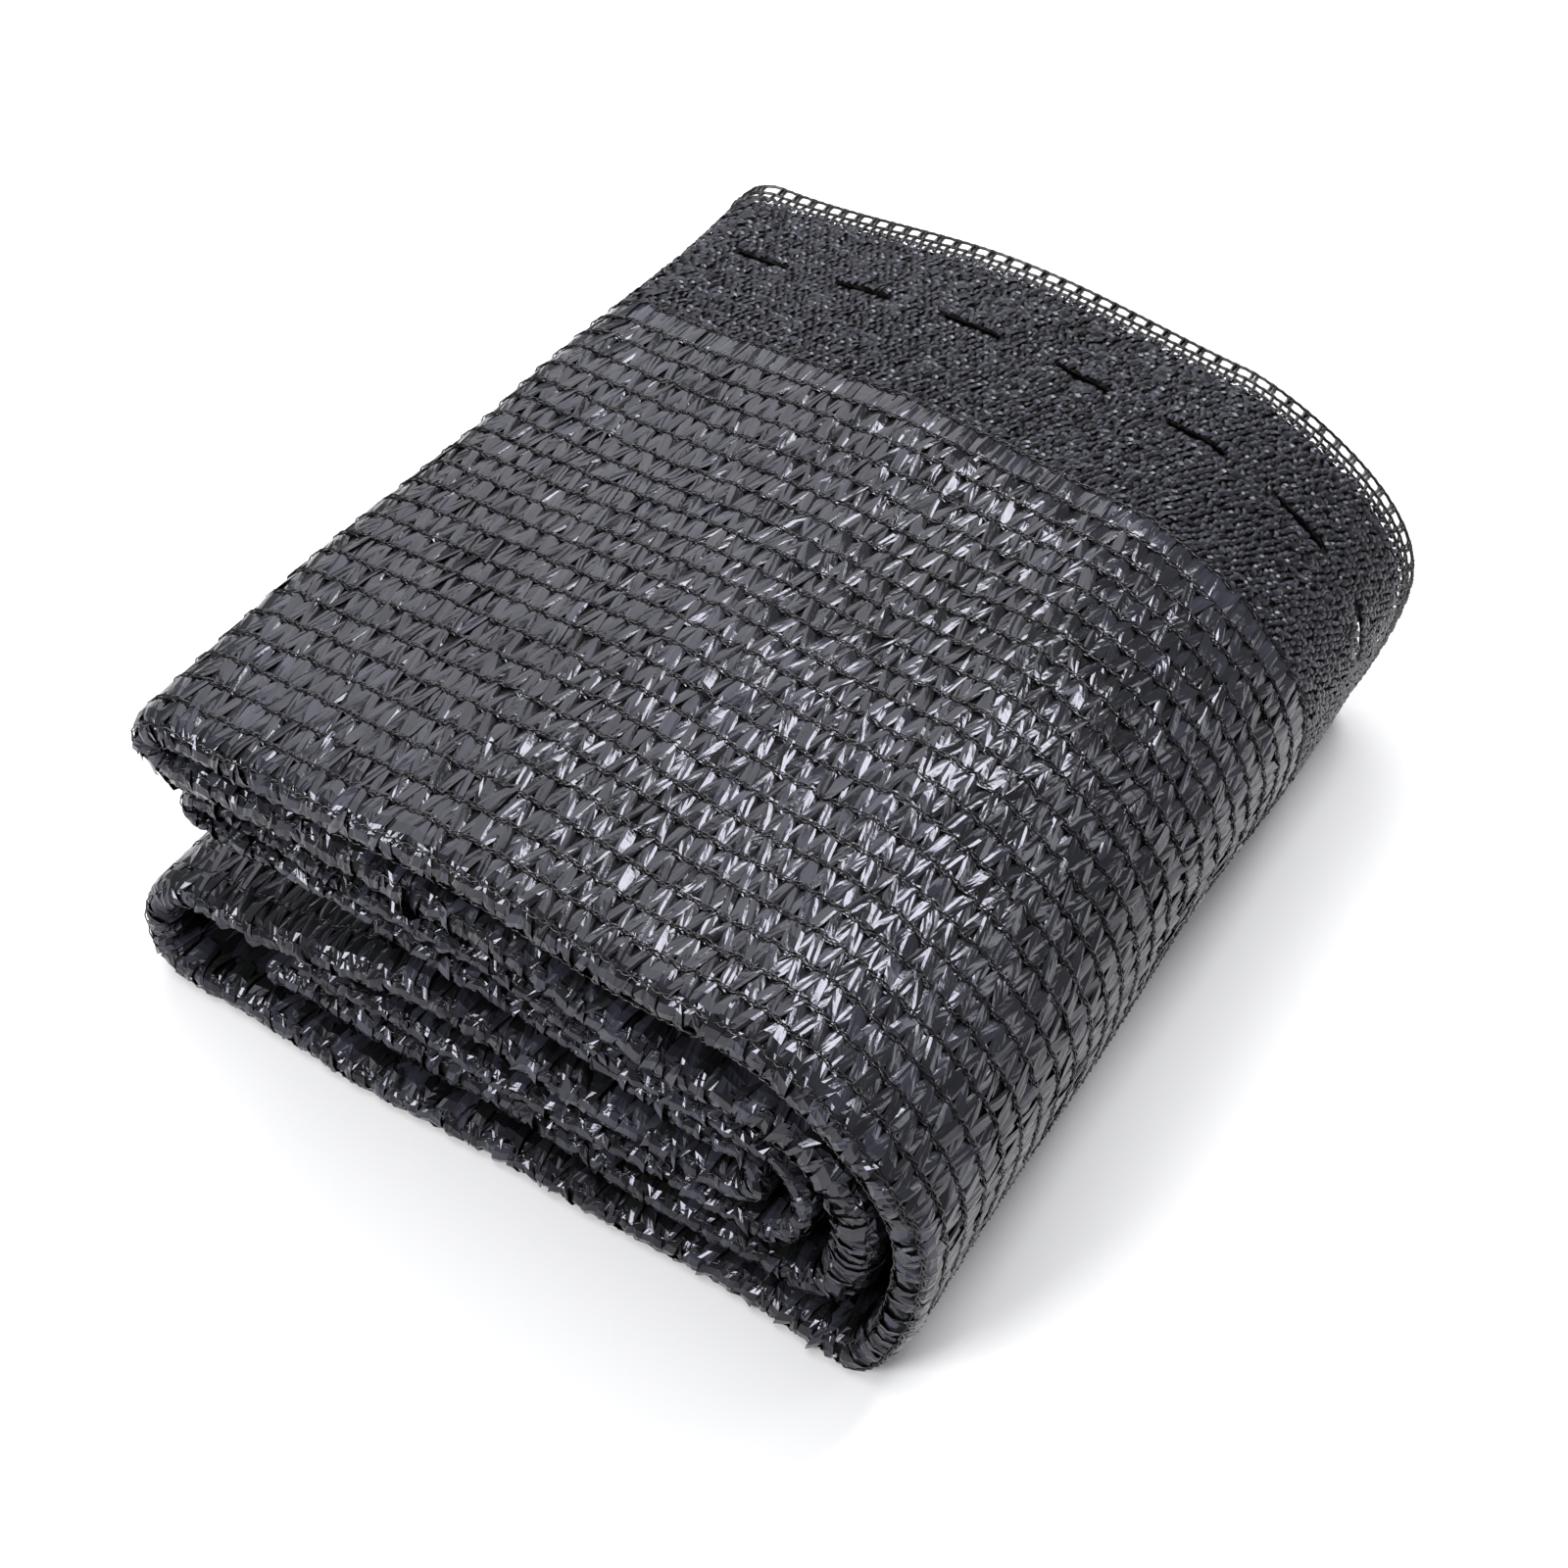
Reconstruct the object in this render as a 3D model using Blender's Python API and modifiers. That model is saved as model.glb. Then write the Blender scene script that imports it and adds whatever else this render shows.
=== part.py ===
"""A folded pack of knitted shade netting, as one solid, in metres with +Z up.

The netting is doubled along its front edge, so each layer of the pack has a rounded front and two plies at the
back. The doubled strip is then folded back and forth: eight layers, joined by three bights on the left and four
nested wraps on the right. X runs along a layer from the bights to the wraps, Y runs from the front folds to the
selvedge, and the origin is under the middle of the pack.
"""
import math

import bmesh
import bpy
from mathutils import Vector

MM = 0.001

# Driving sizes, in millimetres.
DEPTH = 266.0
FRONT_ROUND = 5.5
FRONT_CURL_DEPTH = 14.0
FRONT_BULGE_DEPTH = 26.0
EDGE_THICKNESS = 0.3
THICKEST = 16.0
FLAT_STEP = 19.0
BEND_STEPS = 10
TIGHT_BEND_STEPS = 7
TIGHT_BEND_HEIGHT = 16.0

# What comes this near to the surface that the pack rests on is pressed flat by its weight.
PRESSED_HEIGHT = 0.6

# Each layer of the doubled cloth, in the order in which the strip runs from one free end to the other.
# Heights are those of the layer's middle, behind its front edge. Sizes are in millimetres.
LAYER_COLUMNS = (
    "name", "left", "right", "z_left", "z_middle", "z_right", "thick", "bulge", "front_in", "curl", "back_in",
)
LAYERS = (
    ("inner_low", 24.0, 174.0, 16.5, 17.0, 15.0, 6.5, 1.5, 3.0, 0.0, 16.0),
    ("second", 5.5, 152.0, 76.5, 81.0, 68.5, 8.5, 3.0, 1.5, 1.5, 7.0),
    ("top", 5.5, 152.0, 88.5, 95.0, 89.5, 8.0, 2.5, 0.5, 0.0, 0.0),
    ("floor", 4.0, 191.0, 4.3, 4.3, 4.3, 8.6, 1.4, -1.5, 0.0, 3.0),
    ("lower", 4.0, 156.0, 30.5, 45.5, 36.5, 8.0, 1.8, 2.0, 2.5, 9.0),
    ("fourth", 10.0, 156.0, 59.0, 58.0, 47.5, 5.5, 1.0, 5.0, 1.5, 12.0),
    ("third", 10.0, 154.0, 67.0, 67.5, 55.0, 5.5, 1.0, 4.0, 1.5, 8.0),
    ("inner_high", 33.0, 164.0, 25.5, 27.5, 25.5, 6.0, 1.6, 3.0, 0.0, 14.0),
)
# The bend after each layer but the last: how far the cloth's middle reaches in X, how much thicker the cloth is
# there, and how round the bend is below and above its middle (1 is round, less is squarer, more leans over).
BEND_COLUMNS = ("reach", "swell", "low_power", "high_power")
BENDS = (
    (189.0, 3.5, 0.6, 1.4),
    (-2.0, 0.0, 1.0, 1.0),
    (204.5, 0.0, 0.56, 1.7),
    (-8.5, 0.0, 1.0, 1.0),
    (163.5, -0.8, 0.9, 0.9),
    (4.5, 0.0, 0.9, 0.9),
    (175.5, 0.0, 0.8, 1.2),
)

# Distances back from the front edge at which the pack is cut into sections.
STATIONS = (0.0, 1.0, 2.6, 6.0, 12.0, 24.0, 48.0, 80.0, 114.0, 150.0, 186.0, 218.0, 244.0, DEPTH)

# Buttonhole slits of the selvedge band that lie on the flat of the top layer.
SLIT_FROM_EDGE = 34.0
SLIT_PITCH = 33.0
SLIT_FIRST = 19.0
SLIT_COUNT = 4
SLIT_SIZE = (17.0, 2.4, 24.0)
SLIT_HEIGHT = 99.0


def row(layer):
    """The layer's table row as a dictionary of its columns."""
    return dict(zip(LAYER_COLUMNS, layer))


def ease(t):
    """Goes from 0 to 1 with no slope at either end."""
    return t * t * (3.0 - 2.0 * t)


def layer_height(layer, x):
    """Height of a layer's middle at x: two soft slopes that meet half way along."""
    share = (x - layer["left"]) / (layer["right"] - layer["left"])
    if share < 0.5:
        return layer["z_left"] + (layer["z_middle"] - layer["z_left"]) * ease(2.0 * share)
    return layer["z_middle"] + (layer["z_right"] - layer["z_middle"]) * ease(2.0 * share - 1.0)


def along_layer(layer, rightwards):
    """Points along one layer, as (x, z, layer row)."""
    steps = round((layer["right"] - layer["left"]) / FLAT_STEP)
    shares = [i / steps for i in range(steps + 1)]
    if not rightwards:
        shares.reverse()
    points = []
    for share in shares:
        x = layer["left"] + share * (layer["right"] - layer["left"])
        points.append((x, layer_height(layer, x), layer))
    return points


def round_bend(start, end, bend):
    """Points strictly inside a bend between two layers' ends: half a rounded loop whose ends may differ in x."""
    (x0, z0, layer0), (x1, z1, layer1) = start, end
    steps = TIGHT_BEND_STEPS if abs(z1 - z0) < TIGHT_BEND_HEIGHT else BEND_STEPS
    points = []
    for i in range(1, steps):
        share = i / steps
        turn = math.pi * share
        base = x0 + (x1 - x0) * share
        z = (z0 + z1) / 2.0 - (z1 - z0) / 2.0 * math.cos(turn)
        power = bend["low_power"] if z < (z0 + z1) / 2.0 else bend["high_power"]
        x = base + (bend["reach"] - base) * math.sin(turn) ** power
        blend = {key: layer0[key] + (layer1[key] - layer0[key]) * share
                 for key in ("thick", "bulge", "front_in", "curl", "back_in")}
        blend["thick"] += bend["swell"] * math.sin(turn)
        points.append((x, z, blend))
    return points


def section():
    """The whole folded strip seen from the front, as (x, z, values) from one free end to the other."""
    layers = [row(layer) for layer in LAYERS]
    runs = [along_layer(layer, i % 2 == 0) for i, layer in enumerate(layers)]
    points = list(runs[0])
    for before, after, bend in zip(runs, runs[1:], BENDS):
        points += round_bend(before[-1], after[0], dict(zip(BEND_COLUMNS, bend)))
        points += after
    return points


def uneven(x, y, z):
    """Bends the space of the pack a little, the same for every layer, so that nothing is quite straight.

    The floor layer's underside stays flat, because the change in height grows with the square of the height.
    """
    lift = (z / 100.0) ** 2
    x += 0.8 * math.sin(y / 37.0 + z / 35.0) + 0.5 * math.sin(y / 17.0 + z / 12.0)
    z += lift * (1.3 * math.sin(x / 31.0 + y / 57.0) + 0.8 * math.sin(y / 23.0 - x / 47.0))
    return x, y, z


def front_wander(along):
    """How far the front edge wanders in and out along the strip."""
    return 1.1 + 0.8 * math.sin(along / 27.0) + 0.5 * math.sin(along / 11.0 + 1.0)


def full_thickness(values, station):
    """Thickness of the doubled cloth, its rounded front left out: springy and full in front, flatter behind."""
    return values["thick"] + values["bulge"] * math.exp(-station / FRONT_BULGE_DEPTH)


def thickness_at(values, station):
    """The full thickness, brought down over a quarter circle at the front edge."""
    thick = full_thickness(values, station)
    if station >= FRONT_ROUND:
        return thick
    return max(thick * math.sqrt(1.0 - (1.0 - station / FRONT_ROUND) ** 2), EDGE_THICKNESS)


def cloth_point(x, z, values, along, station):
    """The cloth's middle at one section point and one station, in millimetres, never so low as to pass the floor."""
    front = values["front_in"] + front_wander(along)
    back = DEPTH - values["back_in"]
    y = front + (back - front) * station / DEPTH
    curl = values["curl"] * math.exp(-(y - front) / FRONT_CURL_DEPTH)
    return Vector(uneven(x, y, max(z - curl, full_thickness(values, station) / 2.0)))


def add_cloth_sheet(name):
    """The middle of the doubled cloth as an open grid, with its thickness share kept in a vertex group."""
    points = section()
    along = [0.0]
    for (x0, z0, _), (x1, z1, _) in zip(points, points[1:]):
        along.append(along[-1] + math.hypot(x1 - x0, z1 - z0))

    mesh = bpy.data.meshes.new(name)
    bm = bmesh.new()
    weights = bm.verts.layers.deform.verify()
    columns = []
    for (x, z, values), distance in zip(points, along):
        column = []
        for station in STATIONS:
            vert = bm.verts.new(cloth_point(x, z, values, distance, station) * MM)
            vert[weights][0] = thickness_at(values, station) / THICKEST
            column.append(vert)
        columns.append(column)
    for column, after in zip(columns, columns[1:]):
        for a, b, c, d in zip(column, column[1:], after[1:], after):
            bm.faces.new((a, b, c, d))
    bm.to_mesh(mesh)
    bm.free()

    sheet = bpy.data.objects.new(name, mesh)
    sheet.vertex_groups.new(name="fullness")
    return sheet


def thicken(sheet):
    """Gives the sheet the doubled cloth's thickness, half to each side."""
    solid = sheet.modifiers.new("doubled cloth", "SOLIDIFY")
    solid.thickness = THICKEST * MM
    solid.offset = 0.0
    solid.vertex_group = "fullness"
    solid.thickness_vertex_group = 0.0
    solid.use_rim = True
    solid.use_even_offset = False


def add_slit_cutters(collection):
    """One thin box for each buttonhole slit on the flat of the top layer, joined into one cutter."""
    mesh = bpy.data.meshes.new("slit_cutters")
    bm = bmesh.new()
    for i in range(SLIT_COUNT):
        made = bmesh.ops.create_cube(bm, size=1.0)
        centre = Vector((SLIT_FIRST + SLIT_PITCH * i, DEPTH - SLIT_FROM_EDGE, SLIT_HEIGHT))
        bmesh.ops.scale(bm, vec=Vector(SLIT_SIZE) * MM, verts=made["verts"])
        bmesh.ops.translate(bm, vec=centre * MM, verts=made["verts"])
    bm.to_mesh(mesh)
    bm.free()
    cutter = bpy.data.objects.new("slit_cutters", mesh)
    cutter.hide_render = True
    cutter.display_type = "WIRE"
    collection.objects.link(cutter)
    return cutter


def netting_material():
    """Black tape netting: dull satin plastic."""
    material = bpy.data.materials.new("black knitted plastic tape")
    material.use_nodes = True
    shader = material.node_tree.nodes["Principled BSDF"]
    shader.inputs["Base Color"].default_value = (0.018, 0.018, 0.021, 1.0)
    shader.inputs["Roughness"].default_value = 0.5
    shader.inputs["Metallic"].default_value = 0.0
    return material


def evaluated_mesh(obj):
    """A plain mesh of the object as its modifiers leave it."""
    bpy.context.view_layer.update()
    graph = bpy.context.evaluated_depsgraph_get()
    return bpy.data.meshes.new_from_object(obj.evaluated_get(graph))


def stand_on_origin(mesh):
    """Moves the mesh so that the origin is under the middle of its box, and presses its underside flat."""
    corners = [[f(v.co[axis] for v in mesh.vertices) for f in (min, max)] for axis in range(3)]
    shift = Vector((
        -(corners[0][0] + corners[0][1]) / 2.0,
        -(corners[1][0] + corners[1][1]) / 2.0,
        -corners[2][0],
    ))
    for vert in mesh.vertices:
        vert.co += shift
        if vert.co.z < PRESSED_HEIGHT * MM:
            vert.co.z = 0.0


def build():
    for obj in list(bpy.data.objects):
        bpy.data.objects.remove(obj, do_unlink=True)
    parts = bpy.data.collections.new("folded shade cloth")
    cutters = bpy.data.collections.new("cutters")
    bpy.context.scene.collection.children.link(parts)
    bpy.context.scene.collection.children.link(cutters)

    sheet = add_cloth_sheet("shade_cloth_sheet")
    parts.objects.link(sheet)
    thicken(sheet)
    cut = sheet.modifiers.new("buttonhole slits", "BOOLEAN")
    cut.operation = "DIFFERENCE"
    cut.object = add_slit_cutters(cutters)

    mesh = evaluated_mesh(sheet)
    stand_on_origin(mesh)
    for helper in list(bpy.data.objects):
        bpy.data.objects.remove(helper, do_unlink=True)
    mesh.materials.clear()
    mesh.materials.append(netting_material())
    cloth = bpy.data.objects.new("shade_cloth", mesh)
    parts.objects.link(cloth)
    mesh.shade_smooth()
    mesh.set_sharp_from_angle(angle=math.radians(50.0))


build()
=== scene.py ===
# %% [markdown]
# # A folded pack of knitted shade netting
#
# Shade netting is knitted on a warp machine from two things: thin yarns that run along the cloth as rows
# of chain stitch, and flat black tapes that zigzag from row to row and fill the space between them. This
# length was doubled, so that its two selvedges meet at the back, and the doubled strip was then folded
# back and forth. The lesson builds it in that order: the fold as one smooth surface, a thin sheet on it,
# then tapes, chain rows and selvedge.

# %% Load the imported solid, which gives the frame and the size
import math

import bpy
import numpy as np
from mathutils import Matrix, Vector


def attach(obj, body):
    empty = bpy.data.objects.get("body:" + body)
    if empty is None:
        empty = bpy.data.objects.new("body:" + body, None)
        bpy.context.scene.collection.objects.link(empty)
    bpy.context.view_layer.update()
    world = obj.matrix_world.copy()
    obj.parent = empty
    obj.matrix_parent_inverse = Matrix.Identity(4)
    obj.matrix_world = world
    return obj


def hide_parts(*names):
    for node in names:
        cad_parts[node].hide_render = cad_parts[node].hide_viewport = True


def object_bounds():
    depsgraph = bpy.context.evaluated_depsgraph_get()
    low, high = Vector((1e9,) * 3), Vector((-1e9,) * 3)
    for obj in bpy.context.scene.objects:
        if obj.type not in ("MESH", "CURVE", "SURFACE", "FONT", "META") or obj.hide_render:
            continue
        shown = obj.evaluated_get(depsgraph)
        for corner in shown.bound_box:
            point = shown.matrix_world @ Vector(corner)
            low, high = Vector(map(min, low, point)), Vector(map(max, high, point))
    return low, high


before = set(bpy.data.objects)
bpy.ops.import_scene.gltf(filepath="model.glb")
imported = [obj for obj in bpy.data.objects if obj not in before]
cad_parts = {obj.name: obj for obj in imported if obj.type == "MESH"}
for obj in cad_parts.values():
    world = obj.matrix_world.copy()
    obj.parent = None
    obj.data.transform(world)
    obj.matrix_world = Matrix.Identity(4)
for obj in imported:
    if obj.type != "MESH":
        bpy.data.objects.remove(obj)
cad_low, cad_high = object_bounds()
bpy.ops.object.select_all(action="DESELECT")
MM = 0.001
print("solid, mm:", [round(v / MM, 1) for v in (cad_high - cad_low)])

# %% [markdown]
# ## The fold
#
# The pack is easiest to describe from the front, as one line that runs through its eight layers and seven
# bends. Each layer is a row of a table: where it begins and ends, its height at both ends and in the
# middle, and how thick the two plies lie there. A cloth simulation could fold a sheet too, but it would
# not land on the folds of the picture, so the line is written down and the small unevenness is added to
# it.

# %% The table of layers and bends, in millimetres
# thick and bulge: the two plies, and how much fuller they are at the front. front_in and back_in: how far
# the layer stays back from the pack's front and back. curl: how far its front edge droops.
LAYER_COLUMNS = (
    "name", "left", "right", "z_left", "z_middle", "z_right", "thick", "bulge", "front_in", "curl", "back_in",
)
LAYERS = (
    ("inner_low", 24.0, 174.0, 16.5, 17.0, 15.0, 6.5, 1.5, 3.0, 0.0, 16.0),
    ("second", 5.5, 152.0, 76.5, 81.0, 68.5, 8.5, 3.0, 1.5, 1.5, 7.0),
    ("top", 5.5, 152.0, 88.5, 95.0, 89.5, 8.0, 2.5, 0.5, 0.0, 0.0),
    ("floor", 4.0, 191.0, 4.3, 4.3, 4.3, 8.6, 1.4, -1.5, 0.0, 3.0),
    ("lower", 4.0, 156.0, 30.5, 45.5, 36.5, 8.0, 1.8, 2.0, 2.5, 9.0),
    ("fourth", 10.0, 156.0, 59.0, 58.0, 47.5, 5.5, 1.0, 5.0, 1.5, 12.0),
    ("third", 10.0, 154.0, 67.0, 67.5, 55.0, 5.5, 1.0, 4.0, 1.5, 8.0),
    ("inner_high", 33.0, 164.0, 25.5, 27.5, 25.5, 6.0, 1.6, 3.0, 0.0, 14.0),
)
# reach: how far out the bend goes. swell: how much thicker the plies are in it. The powers say how round
# it is below and above its middle: 1 is round, and less is squarer.
BEND_COLUMNS = ("reach", "swell", "low_power", "high_power")
BENDS = (
    (189.0, 3.5, 0.6, 1.4),
    (-2.0, 0.0, 1.0, 1.0),
    (204.5, 0.0, 0.56, 1.7),
    (-8.5, 0.0, 1.0, 1.0),
    (163.5, -0.8, 0.9, 0.9),
    (4.5, 0.0, 0.9, 0.9),
    (175.5, 0.0, 0.8, 1.2),
)
VARYING = ("thick", "bulge", "front_in", "curl", "back_in")
layers = [dict(zip(LAYER_COLUMNS, values)) for values in LAYERS]
bends = [dict(zip(BEND_COLUMNS, values)) for values in BENDS]
print("layers:", len(layers), "bends:", len(bends))


# %% One smooth line through all the layers
def layer_line(layer, rightwards, step=2.5):
    """Points along one layer: x, z and the values that vary from layer to layer."""
    share = np.linspace(0.0, 1.0, int((layer["right"] - layer["left"]) / step))
    if not rightwards:
        share = share[::-1]
    first, second = np.clip(2.0 * share, 0.0, 1.0), np.clip(2.0 * share - 1.0, 0.0, 1.0)
    z = layer["z_left"] + (layer["z_middle"] - layer["z_left"]) * first ** 2 * (3.0 - 2.0 * first)
    z = z + (layer["z_right"] - layer["z_middle"]) * second ** 2 * (3.0 - 2.0 * second)
    x = layer["left"] + (layer["right"] - layer["left"]) * share
    return np.column_stack([x, z] + [np.full_like(x, layer[key]) for key in VARYING])


def bend_line(start, end, bend, steps=30):
    """Points strictly inside the bend between two layers."""
    share = np.arange(1, steps) / steps
    turn = np.pi * share
    base = start[0] + (end[0] - start[0]) * share
    middle = (start[1] + end[1]) / 2.0
    z = middle - (end[1] - start[1]) / 2.0 * np.cos(turn)
    power = np.where(z < middle, bend["low_power"], bend["high_power"])
    x = base + (bend["reach"] - base) * np.sin(turn) ** power
    values = start[2:] + (end[2:] - start[2:]) * share[:, None]
    values[:, 0] += bend["swell"] * np.sin(turn)
    return np.column_stack([x, z, values])


runs = [layer_line(layer, i % 2 == 0) for i, layer in enumerate(layers)]
line = [runs[0]]
layer_start = {layers[0]["name"]: 0}
for layer, before, after, bend in zip(layers[1:], runs, runs[1:], bends):
    line.append(bend_line(before[-1], after[0], bend))
    layer_start[layer["name"]] = sum(len(part) for part in line)
    line.append(after)
line = np.vstack(line)
along = np.concatenate([[0.0], np.cumsum(np.hypot(*np.diff(line[:, :2], axis=0).T))])
STRIP = along[-1]
starts = {name: along[i] for name, i in layer_start.items()}
ends = {layer["name"]: starts[layer["name"]] + layer["right"] - layer["left"] for layer in layers}
print("strip through the pack, mm:", round(STRIP))

# %% [markdown]
# ## The skin of the doubled strip
#
# Every piece below lies on the same skin: up over one ply, round the soft front fold, and back along the
# other ply. A place on it has two numbers, as on a map. `s` runs along the strip, and `t` runs across it,
# from minus at one selvedge through zero at the front fold to plus at the other. The skin is worked out
# once, on a fine grid, and read between the grid's points.


# %% Slow waves, so that nothing is quite straight
def waves(table, *places):
    """Adds up waves. A row has a height, a start, and for each place how many mm turn it by a radian."""
    return sum(
        height * np.sin(start + sum(place / length for place, length in zip(places, lengths)))
        for height, start, *lengths in table
    )


FRONT_WAVES = ((0.8, 0.0, 27.0), (0.5, 1.0, 11.0))
SIDE_WAVES = ((0.8, 0.0, 37.0, 35.0), (0.5, 0.0, 17.0, 12.0))
TOP_WAVES = ((1.3, 0.0, 31.0, 57.0), (0.8, 0.0, -47.0, 23.0))
print("tallest wave, mm:", max(row[0] for row in FRONT_WAVES + SIDE_WAVES + TOP_WAVES))

# %% Creases pressed into the top and the outer wrap
# Places are counted from the top layer's start and from the front fold, and turn is in degrees.
CREASE_COLUMNS = ("s", "t", "turn", "long", "wide", "height")
CREASES = (
    (55.0, 150.0, 8.0, 120.0, 16.0, -1.1),
    (120.0, 95.0, -14.0, 100.0, 14.0, 0.9),
    (40.0, 60.0, 10.0, 90.0, 12.0, -0.8),
    (105.0, 185.0, -6.0, 80.0, 10.0, 0.9),
    (185.0, 120.0, 70.0, 90.0, 14.0, -1.0),
    (230.0, 170.0, 80.0, 110.0, 16.0, 1.0),
)


def creases(s, t):
    """Soft troughs and ridges, in millimetres of height."""
    height = np.zeros(np.broadcast(s, t).shape)
    for values in CREASES:
        crease = dict(zip(CREASE_COLUMNS, values))
        ds = s - starts["top"] - crease["s"]
        dt = t - crease["t"]
        turn = math.radians(crease["turn"])
        from_end = (ds * math.cos(turn) + dt * math.sin(turn)) / (crease["long"] / 2.0)
        from_line = (dt * math.cos(turn) - ds * math.sin(turn)) / crease["wide"]
        height += crease["height"] * np.exp(-from_end ** 2 - from_line ** 2)
    return height


print("creases:", len(CREASES))


# %% The middle of the doubled cloth
DEPTH = 266.0
PACK_HIGH = 100.0
FRONT_SET_BACK = 1.1
FRONT_CURL_DEPTH = 14.0
FRONT_BULGE_DEPTH = 26.0


def middle_surface(values, distance, station):
    """The middle between the two plies, in the tables' millimetres, and how thick they lie there."""
    x, z = values[:, 0, None], values[:, 1, None]
    thick, bulge, front_in, curl, back_in = (values[:, i, None] for i in range(2, 7))
    front = front_in + FRONT_SET_BACK + waves(FRONT_WAVES, distance)
    y = front + (DEPTH - back_in - front) * station / DEPTH
    full = thick + bulge * np.exp(-station / FRONT_BULGE_DEPTH)
    z = np.maximum(z - curl * np.exp(-(y - front) / FRONT_CURL_DEPTH), full / 2.0)
    x = x + waves(SIDE_WAVES, y, z)
    z = z + (z / PACK_HIGH) ** 2 * waves(TOP_WAVES, x, y)
    return np.stack(np.broadcast_arrays(x, y, z), axis=-1), full


def unit_normals(points):
    """Normals of a grid of points, from its slopes both ways."""
    normal = np.cross(np.gradient(points, axis=0), np.gradient(points, axis=1))
    return normal / np.linalg.norm(normal, axis=-1, keepdims=True)


# %% The skin as a grid of points and normals
# The grid is closest round the front fold, where the ply turns over on a quarter circle.
FRONT_ROUND = 5.5
GRID_STEP = 1.3
PLY = DEPTH - FRONT_ROUND + FRONT_ROUND * math.pi / 2.0
S_GRID = np.linspace(0.0, STRIP, int(STRIP / GRID_STEP))
HALF_T = np.concatenate([np.linspace(0.0, 12.0, 13), np.linspace(14.0, PLY, 96)])
T_GRID = np.concatenate([-HALF_T[:0:-1], HALF_T])
fine_line = np.column_stack([np.interp(S_GRID, along, column) for column in line.T])
theta = np.minimum(HALF_T / FRONT_ROUND, math.pi / 2.0)
station = np.where(theta < math.pi / 2.0, FRONT_ROUND * (1.0 - np.cos(theta)), HALF_T - PLY + DEPTH)
middle, full_thickness = middle_surface(fine_line, S_GRID[:, None], station[None, :])
offset = unit_normals(middle) * (full_thickness * np.sin(theta) / 2.0)[:, :, None]
SKIN = np.concatenate([(middle - offset)[:, :0:-1], middle + offset], axis=1)
SKIN_NORMAL = unit_normals(SKIN)
skin_low, skin_high = SKIN.reshape(-1, 3).min(0), SKIN.reshape(-1, 3).max(0)
cad_middle = (np.array(cad_low) + np.array(cad_high)) / 2.0 / MM
PLACE = np.array([*(cad_middle - (skin_low + skin_high) / 2.0)[:2], cad_low.z / MM - skin_low[2]])
print("skin, mm:", np.round(skin_high - skin_low, 1), "moved by", np.round(PLACE, 1))

# %% Reading a place on the skin
SHIFT_FROM = 120.0
SELVEDGE_WAVES = ((0.7, 0.0, 43.0), (0.4, 2.0, 17.0))
SELVEDGE_SET_BACK = 0.6
LOWER_PLY_SHORT = 9.0
FLOOR_PRESS = 1.0


def selvedge_shift(s, t):
    """The two selvedges don't lie quite straight, and the second ply's lies further in."""
    share = np.clip((np.abs(t) - SHIFT_FROM) / (PLY - SHIFT_FROM), 0.0, 1.0)
    wander = waves(SELVEDGE_WAVES, s) - SELVEDGE_SET_BACK
    return share * np.where(t > 0.0, wander, -wander + LOWER_PLY_SHORT)


def skin(s, t, lift=0.0):
    """Points in metres at places (s, t) of the skin, lifted off it by so many millimetres.

    What would come within a millimetre of the floor or under it is pressed together just above it.
    """
    s, t, lift = np.broadcast_arrays(s, t, lift)
    row = np.interp(s, S_GRID, np.arange(len(S_GRID)))
    column = np.interp(t + selvedge_shift(s, t), T_GRID, np.arange(len(T_GRID)))
    i = np.minimum(row.astype(int), len(S_GRID) - 2)
    j = np.minimum(column.astype(int), len(T_GRID) - 2)
    a, b = (row - i)[..., None], (column - j)[..., None]
    found = []
    for grid in (SKIN, SKIN_NORMAL):
        found.append((1 - a) * ((1 - b) * grid[i, j] + b * grid[i, j + 1])
                     + a * ((1 - b) * grid[i + 1, j] + b * grid[i + 1, j + 1]))
    height = (lift + creases(s, t))[..., None]
    points = found[0] + found[1] * height + PLACE
    low = points[..., 2] < FLOOR_PRESS
    points[low, 2] = FLOOR_PRESS * np.exp(points[low, 2] / FLOOR_PRESS - 1.0)
    return points * MM


print("middle of the top, m:", np.round(skin((starts["top"] + ends["top"]) / 2.0, PLY / 2.0), 3))


# %% A mesh from arrays
def add_mesh(name, points, faces, material, uv=None, tone=None, smooth=True):
    """A finished piece at the origin, with its place in its mesh.

    uv and tone, where they are given, have one entry for each point.
    """
    mesh = bpy.data.meshes.new(name)
    mesh.from_pydata(points.reshape(-1, 3).tolist(), [], faces.tolist())
    corners = np.empty(len(mesh.loops), dtype=np.int32)
    mesh.loops.foreach_get("vertex_index", corners)
    if uv is not None:
        layer = mesh.uv_layers.new(name="cloth_mm")
        layer.data.foreach_set("uv", uv.reshape(-1, 2)[corners].astype(np.float32).ravel())
    if tone is not None:
        attribute = mesh.attributes.new("tone", "FLOAT", "POINT")
        attribute.data.foreach_set("value", tone.ravel().astype(np.float32))
    mesh.materials.append(material)
    if smooth:
        mesh.shade_smooth()
    piece = bpy.data.objects.new(name, mesh)
    bpy.context.scene.collection.objects.link(piece)
    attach(piece, "root")
    mesh.calc_loop_triangles()
    print(f"{name}: {len(mesh.loop_triangles)} triangles")
    return piece


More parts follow.
